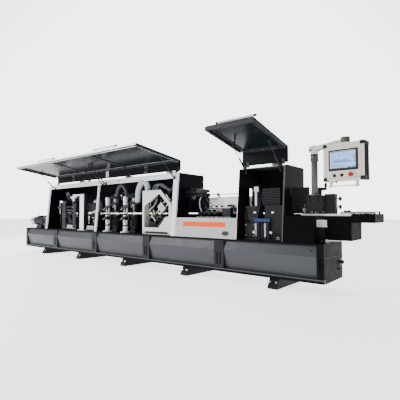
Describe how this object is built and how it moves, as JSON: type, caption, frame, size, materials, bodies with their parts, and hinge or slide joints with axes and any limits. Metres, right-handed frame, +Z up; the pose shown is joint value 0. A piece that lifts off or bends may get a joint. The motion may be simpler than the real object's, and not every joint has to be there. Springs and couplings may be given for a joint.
{
  "type": "edge banding machine",
  "caption": "Long straight-line edge banding machine with a chain conveyor, pressure beam, processing units under lift-up hoods and an operator panel on a swivel arm.",
  "frame": {"origin": "on the floor at the centre of the floor anchor pattern, which is the middle of the five cross feet", "axes": "+X along the machine towards the infeed end, +Y to the rear (the side the panels overhang), +Z up"},
  "size_m": [7.986, 1.5087, 2.0338],
  "materials": {
    "base_black": "satin black paint",
    "foot_black": "black paint",
    "bolt_steel": "zinc",
    "skirt_grey": "metallic grey-blue powder coat",
    "post_blue": "dark blue-grey powder coat",
    "hood_black": "satin dark powder coat",
    "hood_white": "white powder coat",
    "small_hood": "dark brown-grey powder coat",
    "cover_grey": "light grey powder coat with an orange stripe",
    "lid_white": "white powder coat over folded sheet",
    "window_tint": "tinted polycarbonate",
    "anodised": "satin anodised",
    "handle_white": "white powder coat, black end caps",
    "strut_black": "gloss black",
    "strut_rod": "polished",
    "machine_black": "hammered dark paint",
    "chain_steel": "steel links with black rubber pads",
    "machined_steel": "machined",
    "motor_grey": "grey motor paint",
    "beam_silver": "satin anodised",
    "belt_rubber": "ribbed rubber",
    "wheel_black": "black plastic",
    "table_steel": "ground steel top, black box",
    "bracket_grey": "dark grey paint",
    "post_grey": "warm grey paint",
    "arm_white": "off-white paint",
    "hmi_beige": "off-white powder coat, black corner caps",
    "screen_glass": "lit touch screen",
    "button_black": "black",
    "estop_red": "red",
    "unit_grey": "grey paint, bare steel and silver motors",
    "unit_white": "cream white paint",
    "glue_brass": "heated roller, coated",
    "buff_cloth": "stitched cotton"
  },
  "bodies": {
    "machine_frame": {"base_frame": "base_black", "cross_feet": "foot_black", "foot_bolts": "bolt_steel", "skirt_panels": "skirt_grey", "skirt_posts": "post_blue", "main_hood_walls": "hood_black", "main_hood_posts": "hood_white", "small_hood_walls": "small_hood", "hood_hinge_pins": "bolt_steel", "middle_cover": "cover_grey", "conveyor_bed": "machine_black", "feed_chain": "chain_steel", "feed_gearmotor": "motor_grey", "lift_columns": "machined_steel", "infeed_table": "table_steel", "infeed_bracket": "bracket_grey", "hmi_post": "post_grey", "pre_mill_unit": "unit_grey", "glue_unit": "unit_grey", "press_unit": "unit_grey", "end_trim_frame": "unit_white", "trim_units": "unit_white", "finishing_units": "motor_grey"},
    "main_lid": {"main_lid_shell": "lid_white", "main_lid_windows": "window_tint", "main_lid_trim": "anodised", "main_lid_handles": "handle_white"},
    "main_strut_cylinders": {"main_strut_cylinders": "strut_black"},
    "main_strut_rods": {"main_strut_rods": "strut_rod"},
    "small_lid": {"small_lid_shell": "lid_white", "small_lid_window": "window_tint", "small_lid_trim": "anodised", "small_lid_handle": "handle_white"},
    "small_strut_cylinders": {"small_strut_cylinders": "strut_black"},
    "small_strut_rods": {"small_strut_rods": "strut_rod"},
    "feed_drive_sprocket": {"feed_drive_sprocket": "machined_steel"},
    "feed_idler_sprocket": {"feed_idler_sprocket": "machined_steel"},
    "pressure_beam": {"pressure_beam": "beam_silver", "pressure_belt": "belt_rubber"},
    "belt_drive_pulley": {"belt_drive_pulley": "machined_steel"},
    "belt_idler_pulley": {"belt_idler_pulley": "machined_steel"},
    "beam_handwheel": {"beam_handwheel": "wheel_black"},
    "infeed_fence": {"infeed_fence": "anodised"},
    "hmi_arm": {"hmi_arm": "arm_white"},
    "hmi_panel": {"hmi_housing": "hmi_beige", "hmi_screen": "screen_glass", "hmi_handle": "anodised"},
    "start_button": {"start_button": "button_black"},
    "stop_button": {"stop_button": "button_black"},
    "emergency_stop": {"emergency_stop": "estop_red"},
    "main_switch": {"main_switch": "button_black"},
    "pre_mill_cutter_infeed": {"pre_mill_cutter_infeed": "machined_steel"},
    "pre_mill_cutter_outfeed": {"pre_mill_cutter_outfeed": "machined_steel"},
    "glue_roller": {"glue_roller": "glue_brass"},
    "press_roller": {"press_roller": "machined_steel"},
    "end_trim_head": {"end_trim_head": "motor_grey"},
    "end_trim_saw": {"end_trim_saw": "machined_steel"},
    "rough_trim_cutters": {"rough_trim_cutters": "machined_steel"},
    "fine_trim_cutters": {"fine_trim_cutters": "machined_steel"},
    "buffing_wheels": {"buffing_wheels": "buff_cloth"}
  },
  "joints": [
    {"name": "main_lid_hinge", "type": "hinge", "parent": "machine_frame", "child": "main_lid", "pos_m": [-0.663, -0.2, 1.612], "axis": [1, 0, 0], "range_deg": [0, 98]},
    {"name": "main_strut_swing", "type": "hinge", "parent": "machine_frame", "child": "main_strut_cylinders", "pos_m": [-0.663, -0.27, 1.492], "axis": [1, 0, 0], "range_deg": [0, 122.6]},
    {"name": "main_strut_stroke", "type": "slide", "parent": "main_strut_cylinders", "child": "main_strut_rods", "axis": [0, -0.7292, 0.6843], "range_m": [-0.1441, 0]},
    {"name": "small_lid_hinge", "type": "hinge", "parent": "machine_frame", "child": "small_lid", "pos_m": [2.7595, -0.155, 1.575], "axis": [1, 0, 0], "range_deg": [0, 102]},
    {"name": "small_strut_swing", "type": "hinge", "parent": "machine_frame", "child": "small_strut_cylinders", "pos_m": [2.793, -0.235, 1.48], "axis": [1, 0, 0], "range_deg": [0, 126.4]},
    {"name": "small_strut_stroke", "type": "slide", "parent": "small_strut_cylinders", "child": "small_strut_rods", "axis": [0, -0.7127, 0.7015], "range_m": [-0.1041, 0]},
    {"name": "feed_drive_spin", "type": "hinge", "parent": "machine_frame", "child": "feed_drive_sprocket", "pos_m": [-2.99, 0.15, 0.83], "axis": [0, 1, 0], "continuous": true},
    {"name": "feed_idler_spin", "type": "hinge", "parent": "machine_frame", "child": "feed_idler_sprocket", "pos_m": [3.27, 0.15, 0.83], "axis": [0, 1, 0], "continuous": true},
    {"name": "beam_height", "type": "slide", "parent": "machine_frame", "child": "pressure_beam", "axis": [0, 0, 1], "range_m": [-0.012, 0.04]},
    {"name": "belt_drive_spin", "type": "hinge", "parent": "pressure_beam", "child": "belt_drive_pulley", "pos_m": [-2.74, 0.15, 1.0155], "axis": [0, 1, 0], "continuous": true},
    {"name": "belt_idler_spin", "type": "hinge", "parent": "pressure_beam", "child": "belt_idler_pulley", "pos_m": [3.18, 0.15, 1.0155], "axis": [0, 1, 0], "continuous": true},
    {"name": "handwheel_turn", "type": "hinge", "parent": "machine_frame", "child": "beam_handwheel", "pos_m": [3.44, 0.01, 1.234], "axis": [0, 0, 1], "range_deg": [-1080, 3600]},
    {"name": "fence_adjust", "type": "slide", "parent": "machine_frame", "child": "infeed_fence", "axis": [0, 1, 0], "range_m": [-0.006, 0.004]},
    {"name": "hmi_arm_swing", "type": "hinge", "parent": "machine_frame", "child": "hmi_arm", "pos_m": [3.428, -0.12, 1.69], "axis": [0, 0, 1], "range_deg": [-60, 75]},
    {"name": "hmi_panel_swivel", "type": "hinge", "parent": "hmi_arm", "child": "hmi_panel", "pos_m": [3.865, -0.365, 1.7], "axis": [0, 0, 1], "range_deg": [-90, 90]},
    {"name": "start_press", "type": "slide", "parent": "hmi_panel", "child": "start_button", "axis": [0.0854, 0.9963, 0], "range_m": [0, 0.004], "stiffness_N_per_m": 500},
    {"name": "stop_press", "type": "slide", "parent": "hmi_panel", "child": "stop_button", "axis": [0.0854, 0.9963, 0], "range_m": [0, 0.004], "stiffness_N_per_m": 500},
    {"name": "emergency_press", "type": "slide", "parent": "hmi_panel", "child": "emergency_stop", "axis": [0.0854, 0.9963, 0], "range_m": [0, 0.005], "stiffness_N_per_m": 800},
    {"name": "main_switch_turn", "type": "hinge", "parent": "machine_frame", "child": "main_switch", "pos_m": [3.616, 0.255, 0.331], "axis": [1, 0, 0], "range_deg": [0, 90]},
    {"name": "pre_mill_infeed_spin", "type": "hinge", "parent": "machine_frame", "child": "pre_mill_cutter_infeed", "pos_m": [3, -0.023, 0.93], "axis": [0, 0, 1], "continuous": true},
    {"name": "pre_mill_outfeed_spin", "type": "hinge", "parent": "machine_frame", "child": "pre_mill_cutter_outfeed", "pos_m": [2.85, -0.023, 0.93], "axis": [0, 0, 1], "continuous": true},
    {"name": "glue_roller_spin", "type": "hinge", "parent": "machine_frame", "child": "glue_roller", "pos_m": [2.59, 0.005, 0.95], "axis": [0, 0, 1], "continuous": true},
    {"name": "press_roller_spin", "type": "hinge", "parent": "machine_frame", "child": "press_roller", "pos_m": [2.18, -0.036, 0.95], "axis": [0, 0, 1], "continuous": true},
    {"name": "end_trim_stroke", "type": "slide", "parent": "machine_frame", "child": "end_trim_head", "axis": [0.7071, 0, 0.7071], "range_m": [-0.06, 0.06]},
    {"name": "end_trim_saw_spin", "type": "hinge", "parent": "end_trim_head", "child": "end_trim_saw", "pos_m": [0.772, -0.055, 1.09], "axis": [1, 0, 0], "continuous": true},
    {"name": "rough_trim_spin", "type": "hinge", "parent": "machine_frame", "child": "rough_trim_cutters", "pos_m": [-0.075, 0.004, 0.94], "axis": [0, 0, 1], "continuous": true},
    {"name": "fine_trim_spin", "type": "hinge", "parent": "machine_frame", "child": "fine_trim_cutters", "pos_m": [-0.617, 0.004, 0.94], "axis": [0, 0, 1], "continuous": true},
    {"name": "buffing_spin", "type": "hinge", "parent": "machine_frame", "child": "buffing_wheels", "pos_m": [-2.2, -0.031, 0.94], "axis": [0, 0, 1], "continuous": true}
  ],
  "couplings": [
    {"joint": "main_strut_swing", "follows": "main_lid_hinge", "ratio": 1.2458},
    {"joint": "main_strut_stroke", "follows": "main_lid_hinge", "m_per_rad": -0.083689},
    {"joint": "small_strut_swing", "follows": "small_lid_hinge", "ratio": 1.2343},
    {"joint": "small_strut_stroke", "follows": "small_lid_hinge", "m_per_rad": -0.057909},
    {"joint": "feed_idler_spin", "follows": "feed_drive_spin", "ratio": 1},
    {"joint": "belt_drive_spin", "follows": "feed_drive_spin", "ratio": -1.5},
    {"joint": "belt_idler_spin", "follows": "feed_drive_spin", "ratio": -1.5},
    {"joint": "handwheel_turn", "follows": "beam_height", "rad_per_m": 1570.8},
    {"joint": "press_roller_spin", "follows": "feed_drive_spin", "ratio": -1.2}
  ]
}
